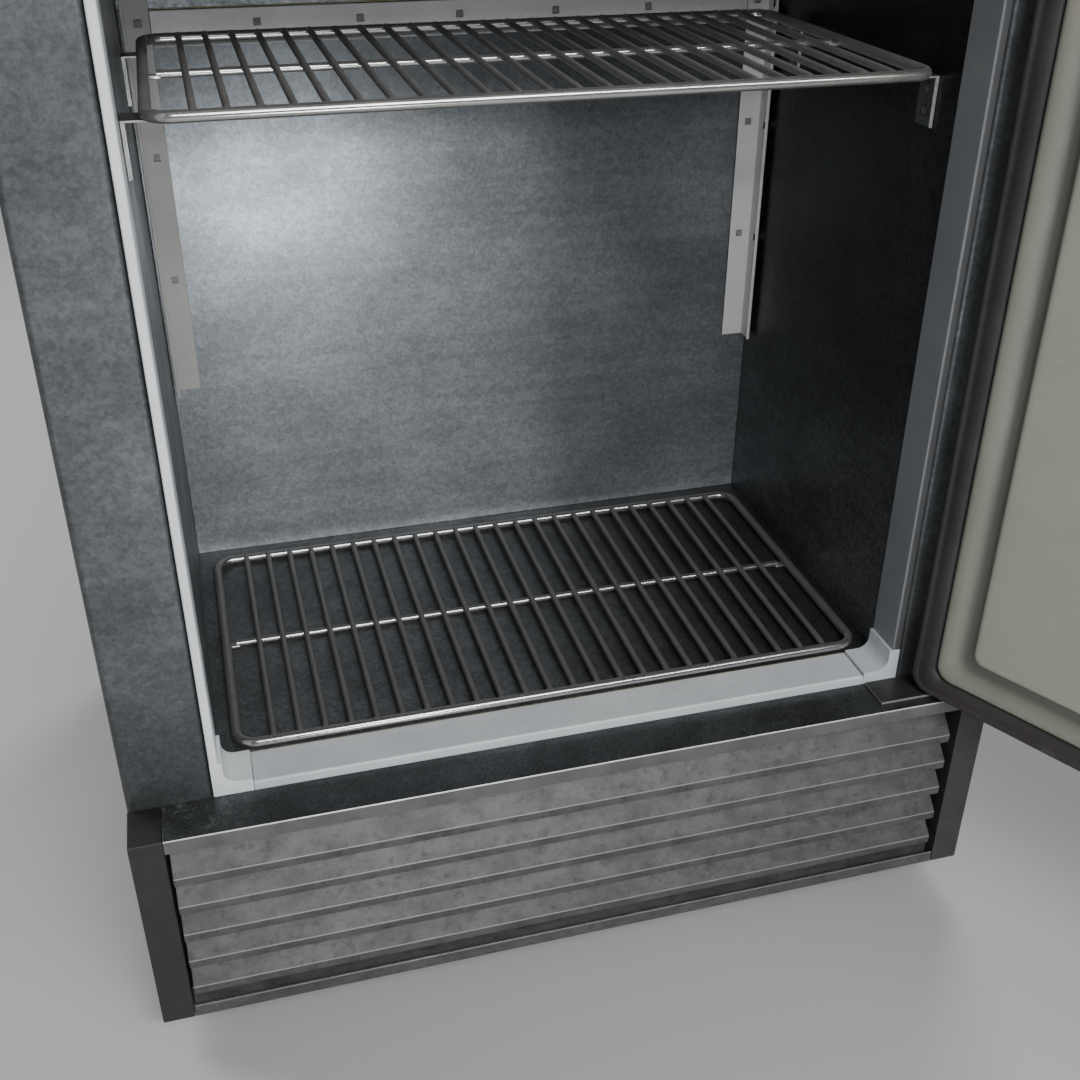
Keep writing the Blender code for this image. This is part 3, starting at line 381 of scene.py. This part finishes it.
def foam_look():
    """Foam insulation, painted near black behind the front strips as the shade in the gaps there."""
    look = Look("insulation_look")
    cells = look.band(look.noise(340.0, 4.0, 0.7), 0.3, 0.7, (0.75, 1.15))
    paint = look.tint((0.66, 0.56, 0.30), cells)
    # painted shade: near black towards the front, where the foam lies behind the strips
    shaded_front = look.band(look.axis("Y"), -0.225, -0.205, (1.0, 0.0))
    paint = look.mix(shaded_front, paint, (0.020, 0.020, 0.020))
    look.bump(look.noise(260.0, 4.0, 0.7), 0.6, 0.001)
    return look.finish(paint, 0.0, 0.9)


STAINLESS = (0.50, 0.51, 0.52)
TRIM_POLISH = (0.26, 0.42)
RAIL_POLISH = (0.52, 0.64)
POST_POLISH = (0.36, 0.54)
ALONG_X, ALONG_Z, NEARLY_Z = (0.02, 1.0, 1.0), (1.0, 1.0, 0.02), (1.0, 1.0, 0.3)

LOOKS = {
    "galvanised_shell": sheet_look(
        "galvanised_shell_look",
        (0.116, 0.123, 0.128),
        metallic=0.55,
        rough=(0.42, 0.56),
        cloud=0.16,
        grain=0.18,
        # each fall here paints shade towards the bottom and light further back
        painted_falls=(("Z", 0.17, 0.42, 0.66, 1.0), ("Y", -0.235, -0.06, 1.0, 1.9)),
    ),
    "galvanised_lining": sheet_look(
        "galvanised_lining_look",
        (0.15, 0.160, 0.168),
        metallic=0.70,
        rough=(0.30, 0.44),
        cloud=0.09,
        grain=0.34,
        speck=0.4,
    ),
    "stainless_top": brushed_look("stainless_top_look", STAINLESS, ALONG_X, 0.95, (0.33, 0.38), 0.7),
    "stainless_door": brushed_look("stainless_door_look", STAINLESS, ALONG_Z, 0.95, (0.33, 0.38), 0.7),
    "insulation": foam_look(),
    "pale_trim": plastic_look("pale_trim_look", (0.63, 0.66, 0.68), TRIM_POLISH, 0.18),
    "aluminium_rail": brushed_look(
        "aluminium_rail_look", (0.34, 0.335, 0.325), NEARLY_Z, 0.25, RAIL_POLISH, 0.3
    ),
    "aluminium_fins": brushed_look(
        "aluminium_fins_look", (0.60, 0.61, 0.61), (1.0, 1.0, 0.05), 0.9, (0.35, 0.5)
    ),
    # the lower shelf's wire is painted darker, as shade
    "shelf_wire": wire_look("lower_wire_painted_shade_look", 0.42),
    "grille_metal": lip_look(
        "grille_metal_look",
        (0.105, 0.105, 0.101),
        (0.105, 0.105, 0.100),
        metallic=0.30,
        rough=(0.36, 0.56),
        cloud=0.42,
        edge=(0.12, 0.45),
    ),
    "dark_deck": deck_look(),
    "black_steel": plastic_look(
        "black_steel_look", (0.030, 0.031, 0.034), (0.22, 0.40), 0.2, (0.05, 0.045, 0.04), 0.10
    ),
    "black_plastic": plastic_look("black_plastic_look", (0.040, 0.041, 0.043), (0.45, 0.62), 0.2, peel=0.12),
    "copper_line": brushed_look("copper_line_look", (0.62, 0.31, 0.17), (1.0, 1.0, 0.1), 1.0, (0.25, 0.42)),
    "plated_foot": brushed_look("plated_foot_look", (0.50, 0.50, 0.48), (1.0, 1.0, 0.2), 0.95, (0.28, 0.45)),
    # the light lip tone is a painted highlight on the hinge plate's front edge; its upward faces stay dark
    "plated_hinge": lip_look(
        "plated_hinge_look", (0.055, 0.056, 0.058), (0.42, 0.42, 0.40), 0.5, (0.28, 0.45), 0.18
    ),
    "cream_liner": liner_look(),
    "dark_gasket": rubber_look(),
}
LEFT_POST = lip_look("left_post_look", (0.022, 0.022, 0.022), (0.036, 0.036, 0.035), 0.30, POST_POLISH, 0.2)
RIGHT_POST = lip_look("right_post_look", (0.050, 0.050, 0.049), (0.060, 0.060, 0.058), 0.30, POST_POLISH, 0.2)
# The back lining; each fall paints light and shade: lighter towards the foot with a bright band along it,
# darker at the top and right of the middle.
BACK_WALL = sheet_look(
    "back_lining_look",
    (0.196, 0.210, 0.222),
    metallic=0.74,
    rough=(0.28, 0.31),
    cloud=0.13,
    grain=0.16,
    speck=0.4,
    painted_falls=(
        ("X", 0.04, 0.10, 1.0, 0.70),
        ("X", 0.17, 0.26, 1.0, 1.35),
        ("Z", 0.19, 0.42, 1.45, 1.0),
        ("Z", 0.185, 0.215, 1.9, 1.0),
        ("Z", 0.56, 0.63, 1.0, 0.40),
    ),
    haze=(("Z", 0.24, 0.44, 0.14, 0.0),),
)
# The right lining; each fall is painted shade, darker upwards and towards the back.
SHADED_RIGHT_WALL = sheet_look(
    "right_lining_look",
    (0.200, 0.208, 0.212),
    metallic=0.80,
    rough=(0.28, 0.40),
    cloud=0.20,
    grain=0.30,
    speck=0.35,
    painted_falls=(("Z", 0.20, 0.46, 1.0, 0.14), ("Y", -0.25, 0.08, 1.6, 0.8)),
)
# The floor lining; its fall is painted shade, darker towards the right by the open door.
FLOOR_SHEET = sheet_look(
    "floor_lining_look",
    (0.075, 0.079, 0.082),
    metallic=0.45,
    rough=(0.40, 0.54),
    cloud=0.12,
    grain=0.30,
    speck=0.3,
    painted_falls=(("X", -0.15, 0.25, 1.0, 0.50),),
)
# A lighter copy of the pale trim: painted light on the left strip and its corner
PAINTED_LIGHT_TRIM = plastic_look("painted_light_trim_look", (0.80, 0.83, 0.85), TRIM_POLISH, 0.18)
# A lighter copy of the rail metal: painted light on the right pilaster and the rear rail
PAINTED_LIGHT_RAIL = brushed_look("painted_light_rail_look", (0.62, 0.61, 0.60), NEARLY_Z, 0.25, RAIL_POLISH, 0.3)
HOLE_SHADE = plastic_look("hole_shade_look", (0.20, 0.204, 0.20), (0.45, 0.62), 0.0)
CLIP_LOOK = clip_look()
OWN_LOOKS = {
    "grille_post_left": LEFT_POST,
    "grille_post_right": RIGHT_POST,
    "interior_back": BACK_WALL,
    "interior_right": SHADED_RIGHT_WALL,
    "interior_floor": FLOOR_SHEET,
    "breaker_right": trim_look(),
    "breaker_left": PAINTED_LIGHT_TRIM,
    "breaker_corner_left": PAINTED_LIGHT_TRIM,
    "pilaster_right": PAINTED_LIGHT_RAIL,
    "rear_rail": PAINTED_LIGHT_RAIL,
    "shelf_clip_left_front": CLIP_LOOK,
    "shelf_clip_left_rear": CLIP_LOOK,
    "shelf_clip_right_front": CLIP_LOOK,
    "shelf_clip_right_rear": CLIP_LOOK,
}


def dress(node, look):
    """Gives a CAD node its finish and rounds its edges a little; the mesh itself stays as it is."""
    folded = node.name.startswith(("grille", "louvre"))
    mesh = node.data
    mesh.materials.clear()
    mesh.materials.append(look)
    mesh.polygons.foreach_set("use_smooth", [True] * len(mesh.polygons))
    weld = node.modifiers.new("weld", "WELD")
    weld.merge_threshold = 0.00002
    bevel = node.modifiers.new("edges", "BEVEL")
    bevel.width = 0.0010 if folded else 0.0005
    bevel.segments = 2
    bevel.limit_method = "ANGLE"
    bevel.angle_limit = math.radians(32)
    bevel.use_clamp_overlap = True
    shade = node.modifiers.new("shade", "WEIGHTED_NORMAL")
    shade.keep_sharp = False


for name, node in nodes.items():
    dress(node, OWN_LOOKS.get(name, LOOKS[node.data.materials[0].name]))


# ---------------------------------------------------------------- shapes


def finish_mesh(name, shape, body, slot_name, angle=40, look=None):
    """Turns a bmesh into a piece that rides on a body, with its finish and smooth round faces."""
    bmesh.ops.recalc_face_normals(shape, faces=shape.faces)
    mesh = bpy.data.meshes.new(name)
    shape.to_mesh(mesh)
    shape.free()
    mesh.shade_smooth()
    mesh.set_sharp_from_angle(angle=math.radians(angle))
    mesh.materials.append(look or LOOKS[slot_name])
    made = bpy.data.objects.new(name, mesh)
    bpy.context.scene.collection.objects.link(made)
    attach(made, body)
    return made


def skin(shape, rows, ring=False):
    """Adds the surface through equal loops of points, closed on itself or by its two end loops."""
    made = [[shape.verts.new(point) for point in row] for row in rows]
    pairs = list(zip(made, made[1:]))
    if ring:
        pairs.append((made[-1], made[0]))
    else:
        shape.faces.new(made[0])
        shape.faces.new(made[-1])
    for near, far in pairs:
        for k in range(len(near)):
            shape.faces.new((near[k - 1], near[k], far[k], far[k - 1]))


def spokes(side, other, count):
    """Unit vectors spread evenly round a circle."""
    turns = [math.tau * k / count for k in range(count)]
    return [math.cos(turn) * side + math.sin(turn) * other for turn in turns]


DOME = ((0.75, 0.35), (0.55, 0.72), (0.25, 0.94))


def rod(shape, path, radius, sides, ring=False, domes=False):
    """Adds a round bar along a nearly level path; domes rounds off its ends."""
    points = [Vector(point) for point in path]
    count = len(points)
    stations = []
    for i, point in enumerate(points):
        ahead = points[(i + 1) % count] if ring or i < count - 1 else point
        behind = points[i - 1] if ring or i > 0 else point
        stations.append((point, (ahead - behind).normalized(), radius))
    if domes:
        first, onward, _ = stations[0]
        last, outward, _ = stations[-1]
        start = [(first - onward * radius * out, onward, radius * wide) for out, wide in DOME]
        end = [(last + outward * radius * out, outward, radius * wide) for out, wide in reversed(DOME)]
        stations = start + stations + end
    rows = []
    for point, along, wide in stations:
        side = along.cross((0, 0, 1)).normalized()
        rows.append([point + wide * spoke for spoke in spokes(side, side.cross(along), sides)])
    skin(shape, rows, ring)


def slab(shape, x, y, z, edge):
    """Adds a box with rounded edges from its spans."""
    corners = bmesh.ops.create_cube(shape, size=1.0)["verts"]
    for vert in corners:
        vert.co = Vector(span[0] if at < 0 else span[1] for at, span in zip(vert.co, (x, y, z)))
    around = [e for e in shape.edges if e.verts[0] in corners and e.verts[1] in corners]
    bmesh.ops.bevel(shape, geom=around, offset=edge, segments=2, affect="EDGES", profile=0.6)


def lathe(shape, profile, centre, axis, sides):
    """Adds a turned shape from (radius, height) points about an axis."""
    centre, axis = Vector(centre), Vector(axis).normalized()
    side = axis.orthogonal().normalized()
    around = spokes(side, axis.cross(side), sides)
    skin(shape, [[centre + axis * height + radius * spoke for spoke in around] for radius, height in profile])


CORNER_STEPS = 8


def outline(a, b, radius):
    """A rounded rectangle's points over two spans."""
    points = []
    for x, z, start in ((a[1], b[1], 0), (a[0], b[1], 90), (a[0], b[0], 180), (a[1], b[0], 270)):
        cx = x - math.copysign(radius, x - sum(a) / 2)
        cz = z - math.copysign(radius, z - sum(b) / 2)
        for i in range(CORNER_STEPS + 1):
            angle = math.radians(start + 90 * i / CORNER_STEPS)
            points.append((cx + radius * math.cos(angle), cz + radius * math.sin(angle)))
    return points


def centred(value, size):
    return value - size / 2, value + size / 2


# ---------------------------------------------------------------- wire shelves

RIM, WIRE, CROSS_ROD = 0.0040, 0.0026, 0.0029
RIM_CORNER = 0.016
WIRES, WIRE_PITCH = 24, 0.02055
TAB_LENGTH, TAB_WIDTH = 0.011, 0.0070


def wire_shelf(node, body, look=None):
    """A shelf's rim, cross rod with flattened ends, and wires, in the space of its CAD node."""
    low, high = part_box(node)
    x = (low.x + RIM, high.x - RIM)
    y = (low.y + RIM, high.y - RIM)
    level = low.z + RIM
    centre, middle = sum(x) / 2, sum(y) / 2
    reach = (x[1] - x[0]) / 2 - 0.001
    shape = bmesh.new()
    rod(shape, [(a, b, level) for a, b in outline(x, y, RIM_CORNER)], RIM, 24, ring=True)
    bar = level - 0.0010
    rod(shape, [(centre + s * (reach - 0.008), middle, bar) for s in (-1, 1)], CROSS_ROD, 18)
    for s in (-1, 1):
        tab = sorted((centre + s * reach, centre + s * (reach - TAB_LENGTH)))
        slab(shape, tab, centred(middle - 0.001, TAB_WIDTH), (level - 0.0036, level - 0.0008), 0.0009)
    for i in range(WIRES):
        at = centre + (i - (WIRES - 1) / 2) * WIRE_PITCH
        path = [
            (at, y[0] + 0.0016, level + 0.0006),
            (at, y[0] + 0.0120, level + 0.0011),
            (at, middle - 0.006, level + 0.0017),
            (at, middle, level + 0.0018),
            (at, middle + 0.006, level + 0.0018),
            (at, y[1] - 0.0120, level + 0.0020),
            (at, y[1] - 0.0010, level + 0.0021),
        ]
        rod(shape, path, WIRE, 14, domes=True)
    made = finish_mesh(f"{node}_wires", shape, body, "shelf_wire", 60, look)
    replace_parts(made, node)


wire_shelf("shelf_lower", "shelf_low")
# the upper shelf's wire is painted lighter, as light
wire_shelf("shelf_upper", "shelf_high", wire_look("upper_wire_painted_light_look", 0.80))


# ---------------------------------------------------------------- door liner and gasket

DOOR_HALF = 0.3145
DOOR_FOOT, DOOR_HEAD = 0.190, 0.823
DOOR_FACE, MOULDING_RISE = -0.2492, 0.0089
DOOR_CORNER, TIGHTEST_CORNER = 0.0135, 0.004


def door_ring(inset, y, radius):
    """A rounded loop inside the door's outline, on the open door."""
    x = (-DOOR_HALF + inset, DOOR_HALF - inset)
    z = (DOOR_FOOT + inset, DOOR_HEAD - inset)
    return [SWING @ Vector((a, y, b)) for a, b in outline(x, z, radius)]


def door_profile(name, section, slot_name, ring=False):
    """A moulding round the door from (inset, height, corner drawn in, painted shade and grime) stations."""
    shape = bmesh.new()
    shade_and_soil = shape.verts.layers.float.new("shade_and_soil")
    rows = [
        door_ring(inset, DOOR_FACE + MOULDING_RISE * height, max(TIGHTEST_CORNER, DOOR_CORNER - drawn))
        for inset, height, drawn, _ in section
    ]
    skin(shape, rows, ring)
    shape.verts.ensure_lookup_table()
    for i, vert in enumerate(shape.verts):
        vert[shade_and_soil] = section[i // len(rows[0])][3]
    return finish_mesh(name, shape, "door", slot_name, 32)


gasket = door_profile(
    "door_gasket_lip",
    [
        (0.0014, 0.00, 0.0, 0),
        (0.0008, 0.25, 0.0, 0),
        (0.0007, 0.45, 0.0, 0),
        (0.0011, 0.64, 0.0, 0),
        (0.0020, 0.78, 0.0, 0),
        (0.0032, 0.87, 0.0003, 0),
        (0.0044, 0.90, 0.0008, 0),
        (0.0056, 0.87, 0.0014, 0),
        (0.0066, 0.84, 0.0020, 0),
        (0.0076, 0.83, 0.0025, 0),
        (0.0096, 0.88, 0.0028, 0),
        (0.0122, 0.96, 0.0030, 0),
        (0.0150, 0.975, 0.0030, 0),
        (0.0180, 0.96, 0.0030, 0),
        (0.0196, 0.88, 0.0030, 0),
        (0.0204, 0.74, 0.0030, 0),
        (0.0207, 0.50, 0.0030, 0),
        (0.0208, 0.00, 0.0030, 0),
    ],
    "dark_gasket",
    ring=True,
)
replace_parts(gasket, "door_gasket")

# the fourth column paints shade on the liner's border and shade with grime in its groove
liner = door_profile(
    "door_liner_panel",
    [
        (0.0212, 0.00, 0.0, 0.5),
        (0.0213, 0.50, 0.0, 0.5),
        (0.0216, 0.66, 0.0, 0.4),
        (0.0222, 0.78, 0.0, 0.4),
        (0.0232, 0.86, 0.0, 0.4),
        (0.0246, 0.905, 0.0, 0.4),
        (0.0262, 0.915, 0.0, 0.42),
        (0.0280, 0.905, 0.0, 0.45),
        (0.0300, 0.875, 0.0005, 0.5),
        (0.0320, 0.80, 0.0010, 0.56),
        (0.0340, 0.69, 0.0014, 0.64),
        (0.0358, 0.56, 0.0017, 0.72),
        (0.0376, 0.42, 0.0020, 0.85),
        (0.0392, 0.29, 0.0023, 1.0),
        (0.0406, 0.19, 0.0026, 1.0),
        (0.0420, 0.145, 0.0028, 1.0),
        (0.0440, 0.14, 0.0030, 0.9),
        (0.0464, 0.16, 0.0032, 0.8),
        (0.0482, 0.22, 0.0034, 0.7),
        (0.0492, 0.34, 0.0035, 0.5),
        (0.0499, 0.52, 0.0036, 0.3),
        (0.0506, 0.70, 0.0038, 0.1),
        (0.0514, 0.80, 0.0040, 0.02),
        (0.0526, 0.85, 0.0042, 0.0),
        (0.0545, 0.87, 0.0045, 0.0),
        (0.0580, 0.87, 0.0050, 0.0),
    ],
    "cream_liner",
)
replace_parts(liner, "door_liner")


# ---------------------------------------------------------------- compartment details

SLUG, SLUG_EDGE = 0.0052, 0.0004
PILASTER_PITCH, RAIL_PITCH = 0.105, 0.0836

# Dark slugs in the square holes of the pilasters and the rear rail, painted shade for the holes' insides
shape = bmesh.new()
for side, name in ((1, "pilaster_left"), (-1, "pilaster_right")):
    low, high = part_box(name)
    x = (low.x if side > 0 else high.x) + side * 0.0122
    for k in range(4):
        z = centred(0.787 - PILASTER_PITCH * k, SLUG)
        slab(shape, centred(x, SLUG), (high.y - 0.0010, high.y - 0.0002), z, SLUG_EDGE)
rail_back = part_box("rear_rail")[1].y
for k in range(-2, 3):
    x = centred(RAIL_PITCH * k - 0.0065, SLUG)
    slab(shape, x, (rail_back - 0.0012, rail_back - 0.0002), centred(0.680, SLUG), SLUG_EDGE)
finish_mesh("hole_slugs", shape, "cabinet", "aluminium_rail", 40, HOLE_SHADE)

RIVET_LOW, RIVET_PITCH = 0.6425, 0.0155
RIVET_HEAD = [
    (0.0048, -0.0002),
    (0.0048, 0.0003),
    (0.0044, 0.0007),
    (0.0036, 0.0006),
    (0.0033, 0.0002),
    (0.0028, 0.0004),
    (0.0016, 0.0009),
    (0.0004, 0.0010),
]

shape = bmesh.new()
for side, which in ((1, "left"), (-1, "right")):
    for where in ("front", "rear"):
        low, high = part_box(f"shelf_clip_{which}_{where}")
        face = (low.x if side > 0 else high.x) + side * 0.0014
        y = (low.y + high.y) / 2 + 0.001
        for k in range(2):
            lathe(shape, RIVET_HEAD, (face, y, RIVET_LOW + RIVET_PITCH * k), (side, 0, 0), 28)
finish_mesh("clip_rivets", shape, "cabinet", "aluminium_rail", 50, rivet_look())

# A screw's head as (share of its radius, height), and its cross as shares of its radius
PAN_HEAD = ((1.0, -0.0004), (1.0, 0.0004), (0.92, 0.0010), (0.70, 0.0015), (0.42, 0.0017))
CROSS_ARM, CROSS_HALF = 0.62, 0.16


def screws(name, places, axis, size=0.0036):
    """Pan-head screws standing on a face of the cabinet, each with a raised cross."""
    shape = bmesh.new()
    axis = Vector(axis)
    side = axis.orthogonal().normalized()
    other = axis.cross(side)
    for place in places:
        lathe(shape, [(share * size, height) for share, height in PAN_HEAD], place, axis, 24)
        top = Vector(place) + axis * 0.0016
        for a, b in ((side, other), (other, side)):
            arm, half = a * CROSS_ARM * size, b * CROSS_HALF * size
            foot = [top - arm - half, top + arm - half, top + arm + half, top - arm + half]
            skin(shape, [foot, [corner + axis * 0.0003 for corner in foot]])
    finish_mesh(name, shape, "cabinet", "plated_hinge", 45, LOOKS["plated_foot"])


cover_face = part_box("evaporator_cover")[0].y
screws("cover_screws", [(x, cover_face, z) for x in (-0.262, 0.262) for z in (0.703, 0.780)], (0, -1, 0))

back_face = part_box("back_panel")[1].y - 0.0016
upright = [(s * 0.336, back_face, z) for s in (-1, 1) for z in (0.06, 0.25, 0.44, 0.63, 0.82)]
across = [(x, back_face, z) for x in (-0.17, 0.0, 0.17) for z in (0.155, 0.83)]
screws("back_screws", upright + across, (0, 1, 0), 0.0040)

bracket_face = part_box("hinge_bracket_top")[1].y - 0.0027
screws("hinge_screws", [(x, bracket_face, 0.838) for x in (0.284, 0.321)], (0, -1, 0), 0.0042)

shape = bmesh.new()
inlet_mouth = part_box("power_inlet_box")[1].y
for x, z in ((-0.265, 0.0945), (-0.272, 0.0865), (-0.258, 0.0865)):
    pin = (inlet_mouth - 0.0180, inlet_mouth - 0.0040)
    slab(shape, centred(x, 0.0020), pin, centred(z, 0.0050), 0.0005)
finish_mesh("inlet_pins", shape, "cabinet", "plated_foot")


# ---------------------------------------------------------------- levelling feet

PAD = [(0.0165, 0.0), (0.0190, 0.0006), (0.0200, 0.0022), (0.0200, 0.0070), (0.0194, 0.0080)]
PAD += [(0.0130, 0.0108), (0.0122, 0.0112)]
NUT = [(0.0112, 0.0110), (0.0120, 0.0116), (0.0120, 0.0174), (0.0112, 0.0180)]
THREAD_START, THREAD_PITCH = 0.0182, 0.0010
CREST, ROOT = 0.0050, 0.0044


def levelling_foot(name, body):
    """A round pad, a hexagonal nut and a threaded stud."""
    low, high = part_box(name)
    centre = ((low.x + high.x) / 2, (low.y + high.y) / 2, low.z)
    height = high.z - low.z
    shape = bmesh.new()
    lathe(shape, PAD, centre, (0, 0, 1), 48)
    lathe(shape, NUT, centre, (0, 0, 1), 6)
    thread = [(0.0048, 0.0178)]
    for i in range(int((height - THREAD_START) / THREAD_PITCH)):
        start = THREAD_START + THREAD_PITCH * i
        thread += [(CREST, start), (ROOT, start + THREAD_PITCH / 2)]
    thread.append((0.0040, height))
    lathe(shape, thread, centre, (0, 0, 1), 24)
    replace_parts(finish_mesh(f"{name}_turned", shape, body, "plated_foot", 35), name)


levelling_foot("foot_front_left", "foot_fl")
levelling_foot("foot_front_right", "foot_fr")
levelling_foot("foot_rear_left", "foot_rl")
levelling_foot("foot_rear_right", "foot_rr")


# ---------------------------------------------------------------- compressor

SHELL_AT = (0.190, 0.100)
SHELL_RADIUS = 0.07178
SHELL = [(0.36, 0.016), (0.62, 0.018), (0.82, 0.022), (0.94, 0.030), (0.99, 0.040), (1.0, 0.050)]
SHELL += [(1.0, 0.068), (1.035, 0.0685), (1.035, 0.0715), (1.0, 0.072), (1.0, 0.092), (0.985, 0.100)]
SHELL += [(0.94, 0.110), (0.86, 0.119), (0.74, 0.126), (0.56, 0.1315), (0.36, 0.1345), (0.08, 0.136)]
MOUNT = [(0.0086, 0.0028), (0.0090, 0.0034), (0.0090, 0.0060), (0.0074, 0.0072), (0.0074, 0.0088)]
MOUNT += [(0.0090, 0.0100), (0.0090, 0.0154), (0.0086, 0.0160)]
MOUNT_REACH = 0.062

shape = bmesh.new()
x, y = SHELL_AT
lathe(shape, [(share * SHELL_RADIUS, z) for share, z in SHELL], (x, y, 0), (0, 0, 1), 56)
slab(shape, centred(x, 0.150), centred(y, 0.150), (0.0142, 0.0182), 0.0008)
for a in (-1, 1):
    for b in (-1, 1):
        lathe(shape, MOUNT, (x + a * MOUNT_REACH, y + b * MOUNT_REACH, 0), (0, 0, 1), 28)
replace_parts(finish_mesh("compressor_shell", shape, "cabinet", "black_steel", 35), "compressor")


# ---------------------------------------------------------------- thermostat knob

SKIRT = [(0.0136, 0.0), (0.0140, 0.0006), (0.0140, 0.0080), (0.0136, 0.0096), (0.0124, 0.0108)]
SKIRT += [(0.0100, 0.0112), (0.0030, 0.0110)]
RIB = [(0.0006, 0.0012), (0.0008, 0.0018), (0.0008, 0.0078), (0.0005, 0.0086)]
RIBS, RIB_REACH = 20, 0.0137

low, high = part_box("thermostat_knob")
x, y, z = (low.x + high.x) / 2, high.y, 0.745
shape = bmesh.new()
lathe(shape, SKIRT, (x, y, z), (0, -1, 0), 40)
slab(shape, centred(x, 0.0048), (y - 0.0168, y - 0.0100), centred(z, 0.0238), 0.0012)
for k in range(RIBS):
    turn = math.tau * k / RIBS
    place = (x + RIB_REACH * math.cos(turn), y, z + RIB_REACH * math.sin(turn))
    lathe(shape, RIB, place, (0, -1, 0), 8)
knob = finish_mesh("thermostat_knob_grip", shape, "thermostat_dial", "black_plastic")
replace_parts(knob, "thermostat_knob")


# ---------------------------------------------------------------- stage, camera and light

camera = bpy.data.objects.new("camera", bpy.data.cameras.new("camera"))
bpy.context.scene.collection.objects.link(camera)
camera.location = (-0.2493, -1.0209, 0.8479)
camera.rotation_euler = [math.radians(a) for a in (59.566, -0.157, -15.421)]
camera.data.lens = 43.06
camera.data.sensor_width = 36.0
camera.data.clip_start = 0.01
bpy.context.scene.camera = camera

world = bpy.data.worlds.new("studio")
bpy.context.scene.world = world
world.use_nodes = True
sky = world.node_tree.nodes["Background"]
sky.inputs["Color"].default_value = (0.80, 0.86, 0.92, 1)
sky.inputs["Strength"].default_value = 0.11

FLOOR_HALF, FLOOR_LEVEL = 6, -0.0265
corners = [(a * FLOOR_HALF, b * FLOOR_HALF, FLOOR_LEVEL) for a, b in ((-1, -1), (1, -1), (1, 1), (-1, 1))]
mesh = bpy.data.meshes.new("floor")
mesh.from_pydata(corners, [], [(0, 1, 2, 3)])
floor = bpy.data.objects.new("floor", mesh)
bpy.context.scene.collection.objects.link(floor)
pale = bpy.data.materials.new("pale_floor")
pale.use_nodes = True
paint = pale.node_tree.nodes["Principled BSDF"]
paint.inputs["Base Color"].default_value = (0.55, 0.55, 0.54, 1)
paint.inputs["Roughness"].default_value = 0.7
mesh.materials.append(pale)


def area_light(name, location, target, size, power, colour=(1, 1, 1)):
    light = bpy.data.lights.new(name, "AREA")
    light.shape = "RECTANGLE"
    light.size, light.size_y = size
    light.energy = power
    light.color = colour
    made = bpy.data.objects.new(name, light)
    bpy.context.scene.collection.objects.link(made)
    made.location = location
    made.rotation_euler = (Vector(target) - Vector(location)).to_track_quat("-Z", "Y").to_euler()
    return made


area_light("key", (0.1, -1.9, 1.7), (0, -0.1, 0.4), (1.0, 1.0), 19)
area_light("strip", (0.45, -1.9, 1.55), (0.1, -0.1, 0.3), (1.9, 0.12), 24)
area_light("rim", (-1.9, 1.3, 1.6), (0, 0, 0.4), (1.2, 1.2), 38)
area_light("back", (1.5, 2.1, 1.5), (0, 0.2, 0.4), (1.2, 1.2), 42)

# A low bluish light that lies as a soft patch on the back wall; its shadows would stripe the wall and rail
glow = area_light("glow", (-0.08, -1.42, 0.17), (-0.16, 0.1, 0.5), (0.24, 0.24), 0.80, (0.92, 0.96, 1.0))
glow.data.use_shadow = False
glow.data.spread = math.radians(80)
